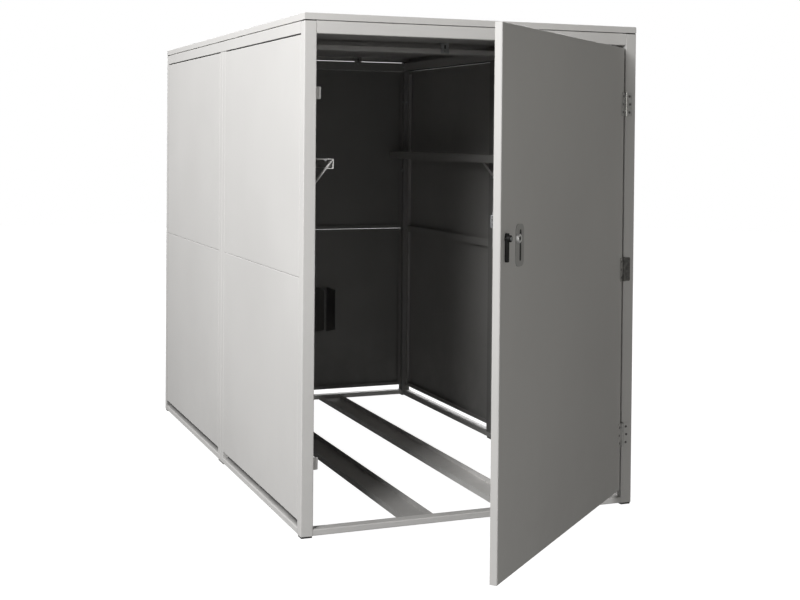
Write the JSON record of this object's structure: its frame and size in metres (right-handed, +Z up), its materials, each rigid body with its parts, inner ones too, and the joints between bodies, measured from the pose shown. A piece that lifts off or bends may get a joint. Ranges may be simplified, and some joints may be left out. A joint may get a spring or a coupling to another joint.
{
  "type": "bicycle locker",
  "caption": "Free-standing steel bicycle locker: tube frame, sheet walls, tray roof, hinged door with lever, bolt and key lock, shelf rails, tyre channels, wheel holders.",
  "frame": {"origin": "centre of the bounding box on the ground, with the door ajar as in the picture", "axes": "+Z up, +Y towards the rear wall, +X to the right seen from the door side"},
  "size_m": [1.182, 2.7986, 1.631],
  "materials": {
    "painted_frame": "light grey powder coat, satin",
    "painted_sheet": "light grey powder coat, satin",
    "painted_hinge": "light grey paint worn at the knuckles",
    "dark_hinge": "black paint, satin",
    "bare_steel": "bright bare steel",
    "zinc_plate": "zinc plated",
    "dark_steel": "dark grey paint, satin",
    "black_lever": "black coat, satin",
    "lock_chrome": "polished chrome",
    "grey_plate": "mid grey paint",
    "foot_rubber": "black rubber"
  },
  "bodies": {
    "cabinet": {"bottom_hinge_frame_leaf": "painted_hinge", "bottom_hinge_pin": "bare_steel", "front_left_foot": "foot_rubber", "front_left_post": "painted_frame", "front_mid_beam": "painted_frame", "front_right_foot": "foot_rubber", "front_right_post": "painted_frame", "front_sill": "painted_frame", "front_top_rail": "painted_frame", "left_front_lower_panel": "painted_sheet", "left_front_mid_post": "painted_frame", "left_front_upper_panel": "painted_sheet", "left_mid_foot": "foot_rubber", "left_rear_lower_panel": "painted_sheet", "left_rear_mid_post": "painted_frame", "left_rear_upper_panel": "painted_sheet", "left_roof_clip": "zinc_plate", "left_shelf_rail": "painted_frame", "left_sill": "painted_frame", "left_top_rail": "painted_frame", "left_tyre_channel": "painted_frame", "left_wheel_holder": "dark_steel", "middle_hinge_frame_leaf": "dark_hinge", "middle_hinge_pin": "bare_steel", "rear_left_foot": "foot_rubber", "rear_left_post": "painted_frame", "rear_lower_panel": "painted_sheet", "rear_mid_beam": "painted_frame", "rear_right_foot": "foot_rubber", "rear_right_post": "painted_frame", "rear_sill": "painted_frame", "rear_top_rail": "painted_frame", "rear_upper_panel": "painted_sheet", "right_front_lower_panel": "painted_sheet", "right_front_mid_post": "painted_frame", "right_front_upper_panel": "painted_sheet", "right_mid_foot": "foot_rubber", "right_rear_lower_panel": "painted_sheet", "right_rear_mid_post": "painted_frame", "right_rear_upper_panel": "painted_sheet", "right_roof_clip": "zinc_plate", "right_shelf_rail": "painted_frame", "right_sill": "painted_frame", "right_top_rail": "painted_frame", "right_tyre_channel": "painted_frame", "right_wheel_holder": "dark_steel", "roof_lid": "painted_sheet", "top_hinge_frame_leaf": "painted_hinge", "top_hinge_pin": "bare_steel"},
    "door": {"door_panel": "painted_sheet", "bolt_guide": "zinc_plate", "lock_plate": "grey_plate", "key_cylinder": "lock_chrome", "top_hinge_door_leaf": "painted_hinge", "middle_hinge_door_leaf": "dark_hinge", "bottom_hinge_door_leaf": "painted_hinge"},
    "handle": {"turn_lever": "black_lever", "spindle_crank": "bare_steel"},
    "bolt": {"lock_bolt": "bare_steel"},
    "key": {"key_plug": "lock_chrome"}
  },
  "joints": [
    {"name": "door_hinge", "type": "hinge", "parent": "cabinet", "child": "door", "pos_m": [0.5495, -0.67321, 0.806], "axis": [0, 0, 1], "range_deg": [-41.83, 128.17]},
    {"name": "handle_turn", "type": "hinge", "parent": "door", "child": "handle", "pos_m": [-0.24194, -1.3836, 0.9795], "axis": [0.6669, -0.7451, 0], "range_deg": [0, 90]},
    {"name": "bolt_slide", "type": "slide", "parent": "door", "child": "bolt", "axis": [-0.7451, -0.6669, 0], "range_m": [0, 0.02267]},
    {"name": "key_turn", "type": "hinge", "parent": "door", "child": "key", "pos_m": [-0.17719, -1.32699, 0.9745], "axis": [0.6669, -0.7451, 0], "range_deg": [0, 90]}
  ],
  "couplings": [
    {"joint": "bolt_slide", "follows": "handle_turn", "m_per_rad": 0.014405}
  ]
}
